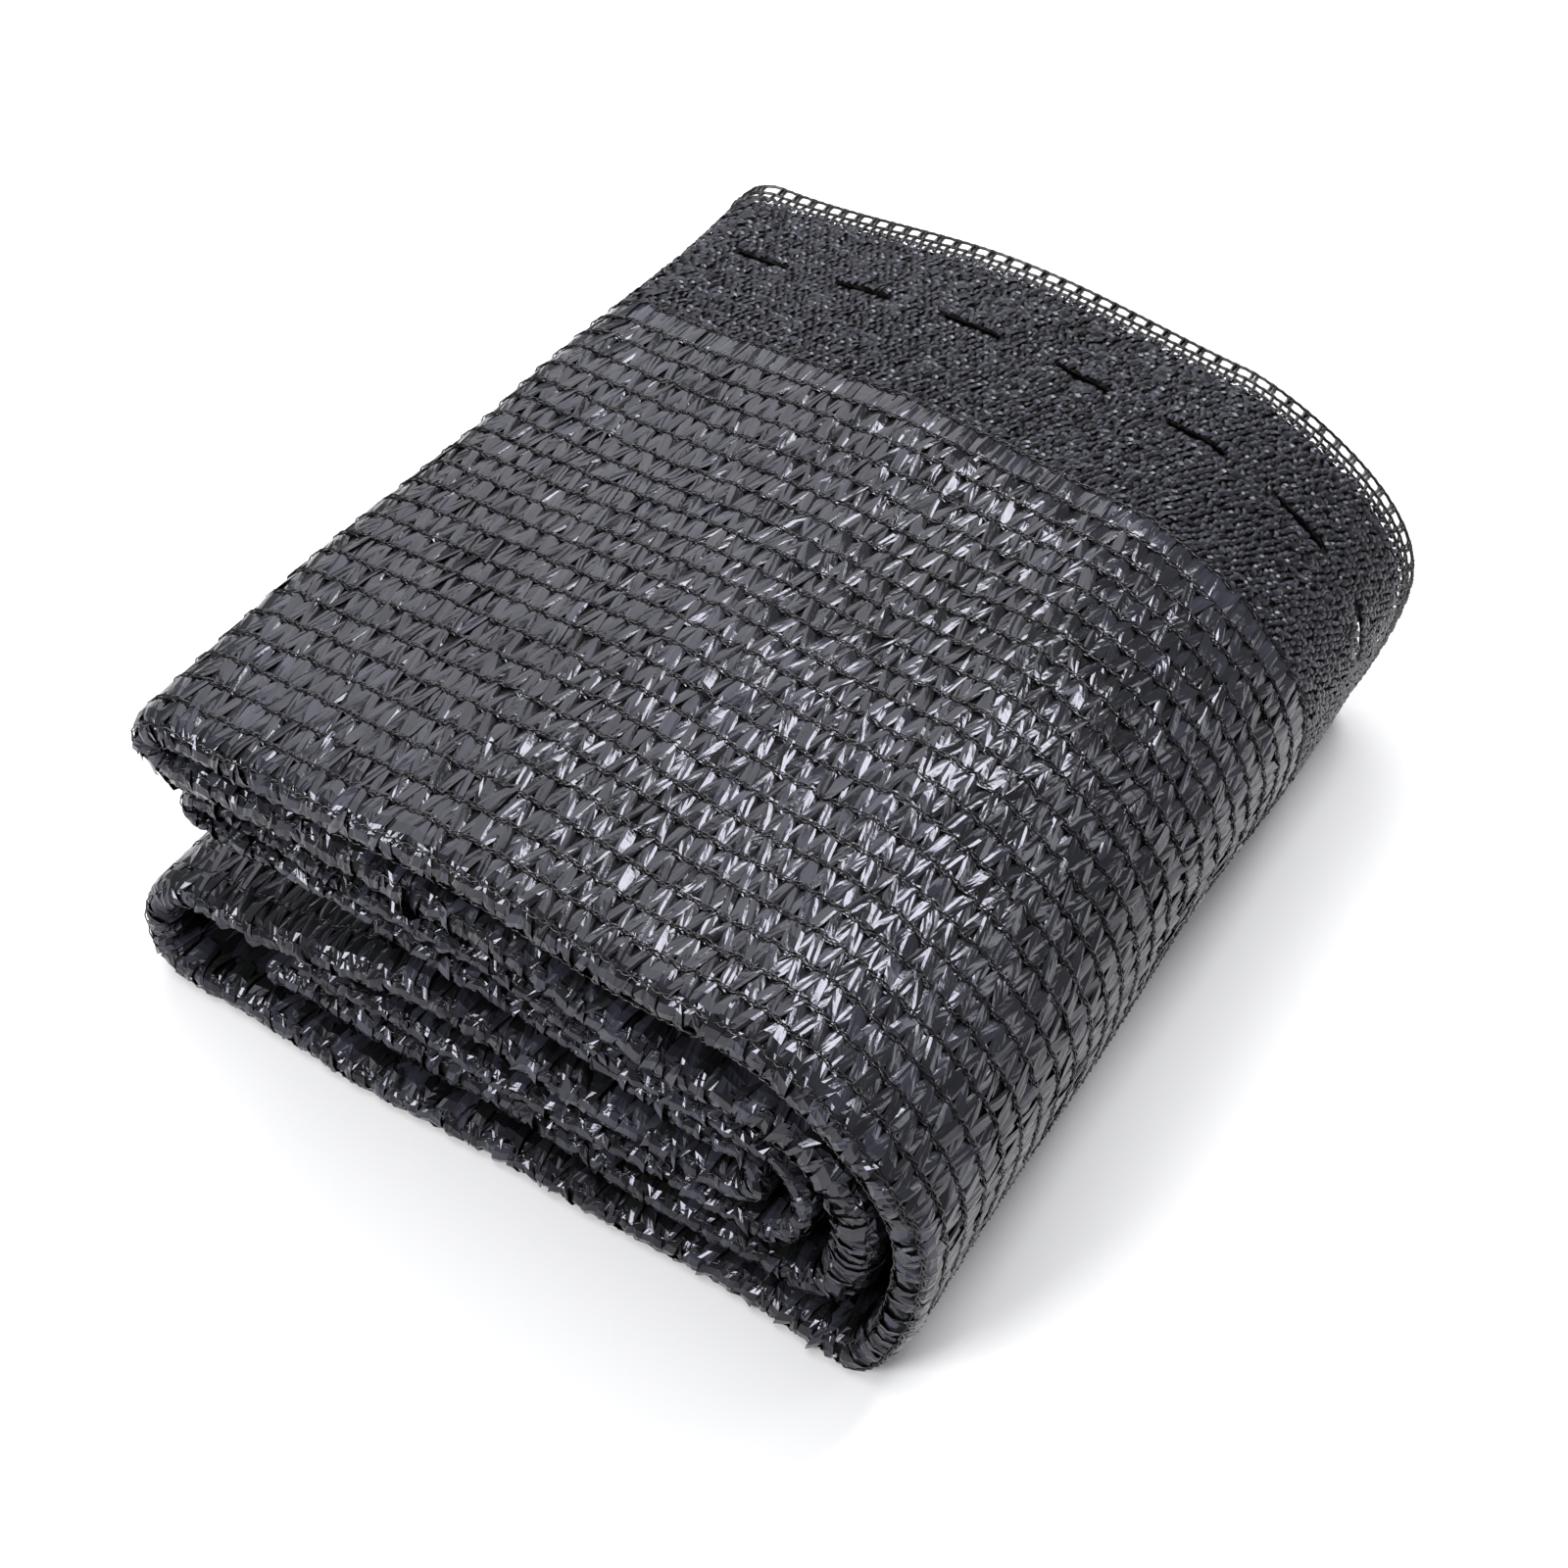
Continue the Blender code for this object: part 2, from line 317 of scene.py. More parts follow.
# %% [markdown]
# ## Finishes
#
# Tape and yarn are both polyethylene with carbon black in it. The tape is slit from blown film and drawn
# hot, which leaves it smooth, a little streaked along its length and crinkled where the stitches pinch
# it. That is why it is nearly black where it faces away from the lamps, and bright silver-grey in small
# flakes where it faces them. A Principled shader with a dark base, plastic's IOR and a low roughness does
# this, as long as the tapes' tilts and folds are real. In the selvedge the same tape is knotted into
# tight stitches, which rubs its gloss away, so it is a duller material there.


# %% Colours and a helper for nodes
def from_hex(text):
    """An sRGB hex colour as linear values."""
    channels = [int(text[i:i + 2], 16) / 255.0 for i in (0, 2, 4)]
    linear = [c / 12.92 if c <= 0.04045 else ((c + 0.055) / 1.055) ** 2.4 for c in channels]
    return (*linear, 1.0)


def add_node(tree, kind, settings=None, inputs=None):
    """A node with its settings made. An input is a value, or another node's socket to link."""
    node = tree.nodes.new(kind)
    for key, value in (settings or {}).items():
        setattr(node, key, value)
    for key, value in (inputs or {}).items():
        if isinstance(value, bpy.types.NodeSocket):
            tree.links.new(value, node.inputs[key])
        else:
            node.inputs[key].default_value = value
    return node


def new_material(name):
    """A material with its own Principled shader, and both of them ready to be linked."""
    material = bpy.data.materials.new(name)
    material.use_nodes = True
    print("finish:", name)
    return material, material.node_tree, material.node_tree.nodes["Principled BSDF"]


# %% Drawn polyethylene tape, carbon black
# Streaks run along the tape, about 0.3 mm wide and 4.5 mm long. Crinkles are a little over a millimetre
# apart. Each copy's own tone, from 0 to 1, goes from black to a faint blue-grey, as some tapes are more
# worn. The straight row by the selvedge band has its tone raised further as a painted sheen.
POLYETHYLENE_IOR = 1.51
STREAKS_PER_MM = (3.0, 0.22, 1.0)
CRINKLES_PER_MM = 0.75
TAPE_TONES = ((0.45, "1a1b1b"), (0.72, "232329"))


def tape_material(name, smoothest, roughest):
    """Black tape with streaks and crinkles, between two roughness values."""
    material, tree, shader = new_material(name)
    place = add_node(tree, "ShaderNodeUVMap", {"uv_map": "cloth_mm"}).outputs["UV"]
    tone = add_node(tree, "ShaderNodeAttribute", {"attribute_name": "tone"}).outputs["Fac"]
    stretched = add_node(tree, "ShaderNodeMapping", inputs={"Vector": place, "Scale": STREAKS_PER_MM})
    streaks = add_node(tree, "ShaderNodeTexNoise", inputs={
        "Vector": stretched.outputs["Vector"], "Scale": 1.0, "Detail": 3.0}).outputs["Fac"]
    crinkles = add_node(tree, "ShaderNodeTexNoise", inputs={
        "Vector": place, "Scale": CRINKLES_PER_MM, "Detail": 4.0, "Roughness": 0.6}).outputs["Fac"]
    shade = add_node(tree, "ShaderNodeValToRGB", inputs={"Fac": tone})
    ramp = shade.color_ramp
    ramp.elements[0].color = from_hex("0f0f11")
    ramp.elements[1].color = from_hex("2f2f38")
    for position, colour in TAPE_TONES:
        ramp.elements.new(position).color = from_hex(colour)
    worn = add_node(tree, "ShaderNodeMapRange", inputs={
        "Value": streaks, "From Min": 0.3, "From Max": 0.7, "To Min": 0.7, "To Max": 1.25})
    mixed = add_node(tree, "ShaderNodeMix", {"data_type": "RGBA", "blend_type": "MULTIPLY"}, {
        "Factor": 1.0, "A": shade.outputs["Color"], "B": worn.outputs["Result"]})
    tree.links.new(mixed.outputs["Result"], shader.inputs["Base Color"])
    rough = add_node(tree, "ShaderNodeMapRange", inputs={
        "Value": crinkles, "From Min": 0.3, "From Max": 0.7, "To Min": smoothest, "To Max": roughest})
    tree.links.new(rough.outputs["Result"], shader.inputs["Roughness"])
    low = add_node(tree, "ShaderNodeBump", inputs={"Height": crinkles, "Strength": 0.22, "Distance": 0.0002})
    fine = add_node(tree, "ShaderNodeBump", inputs={
        "Height": streaks, "Strength": 0.08, "Distance": 0.00004, "Normal": low.outputs["Normal"]})
    tree.links.new(fine.outputs["Normal"], shader.inputs["Normal"])
    shader.inputs["IOR"].default_value = POLYETHYLENE_IOR
    shader.inputs["Specular Tint"].default_value = from_hex("ededff")
    return material


tape_finish = tape_material("drawn polyethylene tape, carbon black", 0.08, 0.16)
stitch_finish = tape_material("drawn polyethylene tape, rubbed dull in the stitches", 0.24, 0.36)


# %% Polyethylene knitting yarn, carbon black
# Round yarn extruded smooth, which shows as a fine bright line along each strand. One strand in the chain
# rows is 0.4 mm thick, and the bundles of it at the edge are 1.0 to 1.4 mm. Its tone changes about every
# millimetre.
YARN_TONES_PER_M = 900.0


def yarn_material():
    """Black yarn, a little uneven in tone."""
    material, tree, shader = new_material("polyethylene knitting yarn, carbon black")
    place = add_node(tree, "ShaderNodeTexCoord").outputs["Object"]
    uneven = add_node(tree, "ShaderNodeTexNoise", inputs={
        "Vector": place, "Scale": YARN_TONES_PER_M, "Detail": 2.0})
    shade = add_node(tree, "ShaderNodeValToRGB", inputs={"Fac": uneven.outputs["Fac"]})
    shade.color_ramp.elements[0].color = from_hex("070708")
    shade.color_ramp.elements[1].color = from_hex("111113")
    tree.links.new(shade.outputs["Color"], shader.inputs["Base Color"])
    shader.inputs["Roughness"].default_value = 0.2
    shader.inputs["IOR"].default_value = POLYETHYLENE_IOR
    return material


yarn_finish = yarn_material()

# %% The ply behind, seen only through the gaps
# The same knit in its own shadow: almost black, with the rows of the cloth as a low bump, one band a row.
# The wave texture repeats every tenth of pi at a scale of 1.
ROW_SPACING = 8.47
WAVE_REPEAT = math.pi / 10.0
FIBRES_PER_MM = 0.9


def ground_material():
    """Dark netting, dull because nothing shines on it."""
    material, tree, shader = new_material("polyethylene netting, shaded side")
    place = add_node(tree, "ShaderNodeUVMap", {"uv_map": "cloth_mm"}).outputs["UV"]
    bands = add_node(tree, "ShaderNodeTexWave", {"bands_direction": "Y"}, {
        "Vector": place, "Scale": WAVE_REPEAT / ROW_SPACING, "Distortion": 0.6, "Detail": 2.0})
    fibres = add_node(tree, "ShaderNodeTexNoise", inputs={
        "Vector": place, "Scale": FIBRES_PER_MM, "Detail": 3.0})
    shade = add_node(tree, "ShaderNodeValToRGB", inputs={"Fac": fibres.outputs["Fac"]})
    shade.color_ramp.elements[0].color = from_hex("060607")
    shade.color_ramp.elements[1].color = from_hex("111113")
    tree.links.new(shade.outputs["Color"], shader.inputs["Base Color"])
    low = add_node(tree, "ShaderNodeBump", inputs={
        "Height": bands.outputs["Fac"], "Strength": 0.6, "Distance": 0.0008})
    fine = add_node(tree, "ShaderNodeBump", inputs={
        "Height": fibres.outputs["Fac"], "Strength": 0.7, "Distance": 0.0006,
        "Normal": low.outputs["Normal"]})
    tree.links.new(fine.outputs["Normal"], shader.inputs["Normal"])
    shader.inputs["Roughness"].default_value = 0.62
    shader.inputs["Specular IOR Level"].default_value = 0.2
    return material


ground_finish = ground_material()

# %% [markdown]
# ## The sheet
#
# Under the tapes lies one thin sheet on the whole skin. It closes the gaps with the dark of the ply
# behind. It stops short of the selvedges, where the real cloth is open enough to see the floor through.
# Buttonhole slits run all along the selvedge band, so faces are left out
# of the sheet there.

# %% Where the buttonhole slits are
SLIT_PITCH = 33.0
SLIT_LONG = 16.5
SLIT_WIDE = 2.4
SLIT_T = 232.0 + PLY - DEPTH
FIRST_SLIT_X = 19.0
top_layer = next(layer for layer in layers if layer["name"] == "top")
slit_middle = starts["top"] + FIRST_SLIT_X - top_layer["left"]


def in_slit(s, t, margin=0.0):
    """Whether a place lies in one of the buttonhole slits."""
    off = np.abs((s - slit_middle + SLIT_PITCH / 2.0) % SLIT_PITCH - SLIT_PITCH / 2.0)
    return (off < SLIT_LONG / 2.0 + margin) & (np.abs(np.abs(t) - SLIT_T) < SLIT_WIDE / 2.0 + margin)


print("slits along the strip:", int(STRIP / SLIT_PITCH), "on each ply")

# %% The sheet as a grid
# A face is an eighth of the slits' pitch long, and two lines of faces meet at each long side of the
# slits, so that a slit is four whole faces left out.
LADDER_DEEP = 7.6
GROUND_LIFT = -1.1
face_long = SLIT_PITCH / 8.0
slit_begins = slit_middle - SLIT_LONG / 2.0
first_s = slit_begins - face_long * int(slit_begins / face_long)
ground_s = np.append(np.arange(first_s, STRIP, face_long), STRIP)
ply_t = np.concatenate([
    np.linspace(0.0, 10.0, 6), np.linspace(15.0, SLIT_T - SLIT_WIDE / 2.0, 40),
    np.linspace(SLIT_T + SLIT_WIDE / 2.0, PLY - LADDER_DEEP, 6),
])
ground_t = np.concatenate([-ply_t[:0:-1], ply_t])


def grid_faces(rows, columns):
    """Corner numbers of the quads of a grid of points."""
    corner = np.arange(rows * columns).reshape(rows, columns)
    quads = np.stack([corner[:-1, :-1], corner[1:, :-1], corner[1:, 1:], corner[:-1, 1:]], axis=-1)
    return quads.reshape(-1, 4)


s_mesh, t_mesh = np.meshgrid(ground_s, ground_t, indexing="ij")
face_s = (ground_s[:-1] + ground_s[1:])[:, None] / 2.0
face_t = (ground_t[:-1] + ground_t[1:])[None, :] / 2.0
kept = ~in_slit(face_s, face_t).ravel()
ground = add_mesh(
    "netting_ground", skin(s_mesh, t_mesh, GROUND_LIFT), grid_faces(*s_mesh.shape)[kept], ground_finish,
    uv=np.stack([s_mesh, t_mesh], axis=-1),
)
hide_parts("shade_cloth")

# %% [markdown]
# ## The tapes
#
# Each tape goes from a stitch of one chain row to a stitch of the next and back, so it makes a row of Vs.
# One leg of a V is modelled as a narrow grid, pinched a little at both ends where the stitches hold
# it. It is then copied to each leg's place, and each copy is tilted, twisted and pleated a little
# differently, with its two edges dipped. The facets stay flat, because flat facets catch a lamp one by
# one, as crumpled film does. Copies of a few faces joined into large meshes keep the file quick, which
# separate objects would not.

# %% One leg of a tape, modelled as a grid
TAPE_PINCH = 0.95
NEAR_END = 0.49


def tape_leg(across, lengthwise):
    """Points and faces of a leg: a grid from -0.5 to 0.5 across and 0 to 1 along, pinched at both ends."""
    bpy.ops.mesh.primitive_grid_add(x_subdivisions=across, y_subdivisions=lengthwise, size=1.0)
    leg = bpy.context.object
    bpy.ops.object.mode_set(mode="EDIT")
    bpy.ops.mesh.select_all(action="DESELECT")
    bpy.ops.object.mode_set(mode="OBJECT")
    for vert in leg.data.vertices:
        vert.select = abs(vert.co.y) > NEAR_END
    bpy.ops.object.mode_set(mode="EDIT")
    bpy.ops.transform.resize(value=(TAPE_PINCH, 1.0, 1.0))
    bpy.ops.object.mode_set(mode="OBJECT")
    points = np.array([vert.co[:2] for vert in leg.data.vertices]) + (0.0, 0.5)
    faces = np.array([list(face.vertices) for face in leg.data.polygons])
    bpy.data.objects.remove(leg, do_unlink=True)
    return points, faces


# %% Many copies as one mesh
def draws(seed, count, spreads, disorder=1.0):
    """A function that draws a value around zero for each copy, with the named spread."""
    random = np.random.default_rng(seed)

    def draw(what, columns=1):
        return random.normal(0.0, spreads[what] * disorder, (count, columns))

    return draw


def add_copies(name, faces, places, uv, tone, material):
    """One mesh of many small grids in flat facets. places and uv are arrays with a row for each copy."""
    copies, corners = places[0].shape
    all_faces = (faces[None] + np.arange(copies)[:, None, None] * corners).reshape(-1, 4)
    uv = np.stack(uv, axis=-1)
    tone = np.repeat(np.clip(tone, 0.0, 1.0), corners, axis=1)
    return add_mesh(name, skin(*places), all_faces, material, uv=uv, tone=tone, smooth=False)


# %% The stitches that hold the tapes
# The front fold lies midway between two chain rows, and the rows are evenly spaced from there to the
# selvedge band. No stitch sits quite where it should, so each has its own offset.
V_PITCH = 5.25
LEG_STEP = V_PITCH / 2.0
LAST_ROW = 23.5
STITCH_SPREAD = 0.3
ROW_WAVES = ((0.5, 0.0, 38.0, 29.0),)
row_lines = np.arange(-LAST_ROW, LAST_ROW + 1.0) * ROW_SPACING
stitch_count = int(STRIP / LEG_STEP)
stitch_random = np.random.default_rng(7)
stitch_s = (np.arange(stitch_count) + 0.5)[:, None] * LEG_STEP + stitch_random.normal(
    0.0, STITCH_SPREAD, (stitch_count, len(row_lines)))
stitch_t = row_lines[None, :] + stitch_random.normal(0.0, STITCH_SPREAD, stitch_s.shape)
stitch_t += waves(ROW_WAVES, stitch_s, row_lines)
print("chain rows:", len(row_lines), "selvedge band, mm:", round(PLY - row_lines[-1], 1))

# %% Where every leg goes
# A leg joins a stitch to the next stitch of the row beside it, now rising and now falling. Along the outer
# ply's selvedge band the last row has straight legs instead.
TAPE_TURN = 0.5
numbers = np.meshgrid(np.arange(stitch_count - 1), np.arange(len(row_lines) - 1), indexing="ij")
leg_number, gap_number = (grid.ravel() for grid in numbers)
rises = (leg_number % 2 == 0).astype(int)
straight = gap_number == len(row_lines) - 2
step_ahead = np.where(straight, 0, 1)
near_row, far_row = gap_number + 1 - rises, gap_number + rises
leg_s = np.stack([stitch_s[leg_number, near_row], stitch_s[leg_number + step_ahead, far_row]], axis=1)
leg_t = np.stack([stitch_t[leg_number, near_row], stitch_t[leg_number + step_ahead, far_row]], axis=1)
leg_s += np.where(straight, 0.0, TAPE_TURN)[:, None] * (1.0, -1.0)
print("legs:", len(leg_s))

# %% Which zone each leg belongs to
# The outer ply shows on the top, down the right wrap and a little way under the pack. Both plies show in
# the rows next to the front fold.
BIGHT_SHOWS = 14.0
LOWER_SHOWS = 60.0
FRONT_ROWS = 3.6
TOP_FROM = starts["top"] - BIGHT_SHOWS
WRAP_FROM = ends["top"]
FLOOR_FROM = starts["floor"]
FLOOR_TO = starts["lower"] + LOWER_SHOWS
middle_s, middle_t = leg_s.mean(1), leg_t.mean(1)
outer = (middle_t > 0.5 * ROW_SPACING) & (middle_s > TOP_FROM) & (middle_s < FLOOR_TO)
zone = np.where(middle_t > 0.0, "inside_a", "inside_b").astype("<U11")
zone[np.abs(middle_t) < FRONT_ROWS * ROW_SPACING] = "front_folds"
zone[outer & (middle_s >= FLOOR_FROM)] = "floor"
zone[outer & (middle_s < FLOOR_FROM)] = "right_wrap"
zone[outer & (middle_s < WRAP_FROM)] = "top"
print("legs by zone:", {name: int((zone == name).sum()) for name in np.unique(zone)})

# %% How the tapes lie
# Sizes are in millimetres. Spreads are in millimetres, in slope, or in shares of the value that they
# change, and texture moves each copy to its own part of the streaks and crinkles.
TAPE_WIDE = 3.6
TAPE_NARROWEST = 2.4
TAPE_WIDEST = 4.6
TAPE_OVERSHOOT = 0.09
TAPE_SHEAR = 0.25
TAPE_TILT = 0.05
TAPE_BOW = 0.15
TAPE_SEAT = -0.3
EDGE_DIP = 0.22
EDGE_FROM = 0.45
TAPE_SPREADS = {
    "wide": 0.12, "sway": 0.2, "tilt": 0.12, "twist": 0.22, "bow": 0.5, "pleat": 0.07, "dip": 0.4,
    "lift": 0.08, "texture": 300.0, "tone": 0.22,
}
TAPE_TONE = 0.45
TONE_WAVES = ((0.15, 0.0, 31.0, 23.0),)
# Painted sheen: the last row's legs really lie straight, and their tone is raised to stand in for their
# glint.
PAINTED_SHEEN_STRAIGHT_ROW = 0.25


def lay_tapes(name, chosen, across, lengthwise, disorder, seed):
    """Copies the leg to each chosen place, with its own width, tilt, twist, pleats and tone."""
    pattern, leg_faces = tape_leg(across, lengthwise)
    draw = draws(seed, chosen.sum(), TAPE_SPREADS, disorder)
    s_ends, t_ends = leg_s[chosen], leg_t[chosen]
    u, v = pattern[:, 0][None, :], pattern[:, 1][None, :]
    run = np.sign(t_ends[:, 1:] - t_ends[:, :1])
    wide = np.clip(TAPE_WIDE * (1.0 + draw("wide")), TAPE_NARROWEST, TAPE_WIDEST)
    sway = draw("sway") * np.sin(np.pi * v)
    reach = v * (1.0 + 2.0 * TAPE_OVERSHOOT) - TAPE_OVERSHOOT
    s = s_ends[:, :1] + (s_ends[:, 1:] - s_ends[:, :1]) * reach + u * wide + sway
    t = t_ends[:, :1] + (t_ends[:, 1:] - t_ends[:, :1]) * reach + TAPE_SHEAR * u * wide * run
    tilt = run * TAPE_TILT + draw("tilt")
    twist = draw("twist") * (v - 0.5)
    bow = TAPE_BOW * (1.0 + draw("bow")) * np.sin(np.pi * v)
    pleat_lines, pleat = np.unique(np.round(pattern[:, 0], 3), return_inverse=True)
    near_pleats = draw("pleat", len(pleat_lines))
    far_pleats = draw("pleat", len(pleat_lines))
    pleats = near_pleats[:, pleat] * (1.0 - v) + far_pleats[:, pleat] * v
    dip = EDGE_DIP * (1.0 + draw("dip")) * (np.abs(u) > EDGE_FROM)
    lift = TAPE_SEAT + bow + u * wide * (tilt + twist) + pleats - dip + draw("lift")
    uv = (u * wide + draw("texture"), v * ROW_SPACING + draw("texture"))
    tone = TAPE_TONE + waves(TONE_WAVES, s_ends[:, :1], t_ends[:, :1]) + draw("tone")
    # The straight row's tone is raised as a painted sheen.
    tone += PAINTED_SHEEN_STRAIGHT_ROW * straight[chosen][:, None]
    return add_copies(name, leg_faces, (s, t, lift), uv, tone, tape_finish)


# %% Lay the tapes, finest where the eye is
# Columns: zone, piece, faces across and along a leg, disorder, seed. The front folds are the loosest.
ZONES = (
    ("top", "tapes_top", 5, 4, 1.0, 11),
    ("right_wrap", "tapes_right_wrap", 5, 4, 1.0, 12),
    ("floor", "tapes_floor", 3, 3, 1.0, 13),
    ("front_folds", "tapes_front_folds", 4, 4, 2.2, 14),
    ("inside_a", "tapes_inside_a", 2, 2, 1.8, 15),
    ("inside_b", "tapes_inside_b", 2, 2, 1.8, 16),
)
knit_pieces = [lay_tapes(piece, zone == place, *values) for place, piece, *values in ZONES]

# %% [markdown]
# ## Chain stitches, selvedge band and ladder edge
#
# The rows of chain stitch are two thin strands that cross at every stitch. A curve with a bevel would do
# for one row, but there are dozens, each following the folds, so one function sweeps a small polygon
# along a wavy path on the skin. The selvedge band is knitted much finer: short slanting stitches in
# offset rows, with the buttonhole slits left out, and past them a ladder of cords and rungs that is open
# to the light.

# %% A strand along the skin
LOWEST = 0.02


def strands(name, paths, radius, sides, material):
    """Thin tubes along paths of places: each path has rows of s, t and lift."""
    points, faces, count = [], [], 0
    ring = np.arange(sides) * 2.0 * np.pi / sides
    for path in paths:
        centre = skin(path[:, 0], path[:, 1], path[:, 2])
        outward = skin(path[:, 0], path[:, 1], path[:, 2] + 1.0) - centre
        outward /= np.linalg.norm(outward, axis=1, keepdims=True)
        ahead = np.gradient(centre, axis=0)
        ahead /= np.linalg.norm(ahead, axis=1, keepdims=True)
        aside = np.cross(outward, ahead)
        tube = centre[:, None] + radius * MM * (
            np.cos(ring)[None, :, None] * outward[:, None] + np.sin(ring)[None, :, None] * aside[:, None])
        tube[..., 2] = np.maximum(tube[..., 2], LOWEST * MM)
        corner = count + np.arange(len(path) * sides).reshape(len(path), sides)
        after = np.roll(corner, -1, axis=1)
        faces.append(np.stack([corner[:-1], after[:-1], after[1:], corner[1:]], axis=-1).reshape(-1, 4))
        points.append(tube.reshape(-1, 3))
        count += tube.shape[0] * sides
    return add_mesh(name, np.concatenate(points), np.concatenate(faces), material)


# %% Chain rows
# The path passes every stitch of its row, and sways to one side of it and the other in between. The beats
# are the four steps of one sway and of one rise over the other strand.
CHAIN_RADIUS = 0.21
CHAIN_SWAY = 0.5
CHAIN_SWELL = 0.35
CHAIN_LIFT = 0.05
SUNK_CHAIN = -0.2
SWAY_BEATS = np.array([0.0, 1.0, 0.0, -1.0])
SWELL_BEATS = np.array([1.0, 0.0, -0.6, 0.0])


def chain_path(row, s_from, s_to, side, lift=CHAIN_LIFT):
    """One strand of a chain row between two places of the strip."""
    held = np.flatnonzero((stitch_s[:, row] > s_from) & (stitch_s[:, row] < s_to))
    s = np.repeat(stitch_s[held, row], 2)
    t = np.repeat(stitch_t[held, row], 2)
    s[1:-1:2] = (s[0:-2:2] + s[2::2]) / 2.0
    t[1:-1:2] = (t[0:-2:2] + t[2::2]) / 2.0
    beat = np.arange(len(s)) % 4
    across = side * CHAIN_SWAY * SWAY_BEATS[beat]
    height = lift + side * CHAIN_SWELL * SWELL_BEATS[beat]
    return np.column_stack([s, t + across, height])[:-1]


all_rows = np.arange(len(row_lines))
outer_rows = all_rows[row_lines > -1.5 * ROW_SPACING]
front_rows = all_rows[np.abs(row_lines) < 4.0 * ROW_SPACING]
hidden_parts = ((0.0, TOP_FROM), (FLOOR_TO, STRIP))
outer_paths = [chain_path(row, TOP_FROM, FLOOR_FROM, side) for row in outer_rows for side in (1.0, -1.0)]
other_paths = [chain_path(row, FLOOR_FROM, FLOOR_TO, 1.0, SUNK_CHAIN) for row in outer_rows]
other_paths += [chain_path(row, *part, 1.0, SUNK_CHAIN) for row in front_rows for part in hidden_parts]
knit_pieces.append(strands("chain_rows_outer", outer_paths, CHAIN_RADIUS, 4, yarn_finish))
knit_pieces.append(strands("chain_rows_other", other_paths, CHAIN_RADIUS, 3, yarn_finish))

# %% How the stitches of the selvedge band lie
# Sizes and spreads are as for the tapes. A stitch arches over its middle and curves down at its two
# sides. One beside a slit is pushed aside by the opening.
STITCH_ROW = 2.05
STITCH_LONG = 2.4
STITCH_WIDE = 1.5
STITCH_SLANT = 0.35
STITCH_ARCH = 0.55
STITCH_ROUND = 1.2
STITCH_SEAT = -0.1
BAND_STEP = LEG_STEP * 0.8
CLEAR_OF_SLIT = 0.7
BESIDE_SLIT = 1.6
SLIT_OPENS = 0.45
STITCH_SPREADS = {
    "slant": 0.4, "wide": 0.15, "along": 0.25, "across": 0.15, "tilt": 0.22, "twist": 0.3, "lift": 0.1,
    "texture": 300.0, "tone": 0.25,
}
STITCH_TONE = 0.5


def stitch_places(s_from, s_to, rows, plies):
    """Places in offset rows on one or both plies, left out where a slit is."""
    places = []
    for number, t in enumerate(rows):
        s = np.arange(s_from, s_to, BAND_STEP) + (number % 2) * BAND_STEP / 2.0
        for ply in plies:
            places.append(np.column_stack([s, np.full_like(s, t * ply)]))
    places = np.vstack(places)
    return places[~in_slit(places[:, 0], places[:, 1], CLEAR_OF_SLIT)]


def lay_stitches(name, s_from, s_to, rows, plies, across, lengthwise, seed):
    """Short slanting stitches between two places of the strip."""
    places = stitch_places(s_from, s_to, rows, plies)
    s_middle, t_middle = places[:, :1], places[:, 1:]
    beside = in_slit(s_middle, t_middle, BESIDE_SLIT) * np.sign(np.abs(t_middle) - SLIT_T)
    pattern, stitch_faces = tape_leg(across, lengthwise)
    draw = draws(seed, len(places), STITCH_SPREADS)
    u, v = pattern[:, 0][None, :], pattern[:, 1][None, :] - 0.5
    slant = STITCH_SLANT + draw("slant")
    wide = STITCH_WIDE * (1.0 + draw("wide"))
    s = s_middle + u * wide + v * STITCH_LONG * slant + draw("along")
    t = t_middle + v * STITCH_LONG + draw("across") - u * wide * slant * 0.5
    t += SLIT_OPENS * beside * np.sign(t_middle)
    arch = STITCH_ARCH * np.cos(np.pi * v * 0.95) - STITCH_ROUND * u ** 2
    lift = STITCH_SEAT + arch + u * wide * draw("tilt") + v * draw("twist") + draw("lift")
    uv = (u * wide + draw("texture"), v * STITCH_LONG + draw("texture"))
    return add_copies(name, stitch_faces, (s, t, lift), uv, STITCH_TONE + draw("tone"), stitch_finish)


# %% Lay the stitches of the selvedge band
# Columns: piece, from, to, rows, plies, faces across and along a stitch, seed. The top and the outer
# wrap have the whole band, the open left bights its low rows, and every layer its edge.
band_rows = np.arange(-20, 20) * STITCH_ROW + SLIT_T
band_rows = band_rows[(band_rows > row_lines[-1] + 0.6) & (band_rows < PLY - LADDER_DEEP + 0.8)]
edge_rows = band_rows[-9:]
low_rows = band_rows[:-9]
UPPER_BIGHT_FROM = ends["second"] - 20.0
MIDDLE_BIGHT_FROM = ends["fourth"] - 30.0
MIDDLE_BIGHT_TO = starts["third"] + 30.0
BAND = (
    ("selvedge_stitches_outer", TOP_FROM, FLOOR_TO, band_rows, (1,), 2, 3, 21),
    ("selvedge_stitches_bight_upper", UPPER_BIGHT_FROM, TOP_FROM, low_rows, (1,), 1, 2, 25),
    ("selvedge_stitches_bight_middle", MIDDLE_BIGHT_FROM, MIDDLE_BIGHT_TO, low_rows, (1,), 1, 2, 26),
    ("selvedge_stitches_start", 1.0, TOP_FROM, edge_rows, (1, -1), 1, 2, 22),
    ("selvedge_stitches_back", TOP_FROM, FLOOR_TO, edge_rows, (-1,), 1, 2, 23),
    ("selvedge_stitches_end", FLOOR_TO, STRIP - 1.0, edge_rows, (1, -1), 1, 2, 24),
)
knit_pieces += [lay_stitches(*values) for values in BAND]

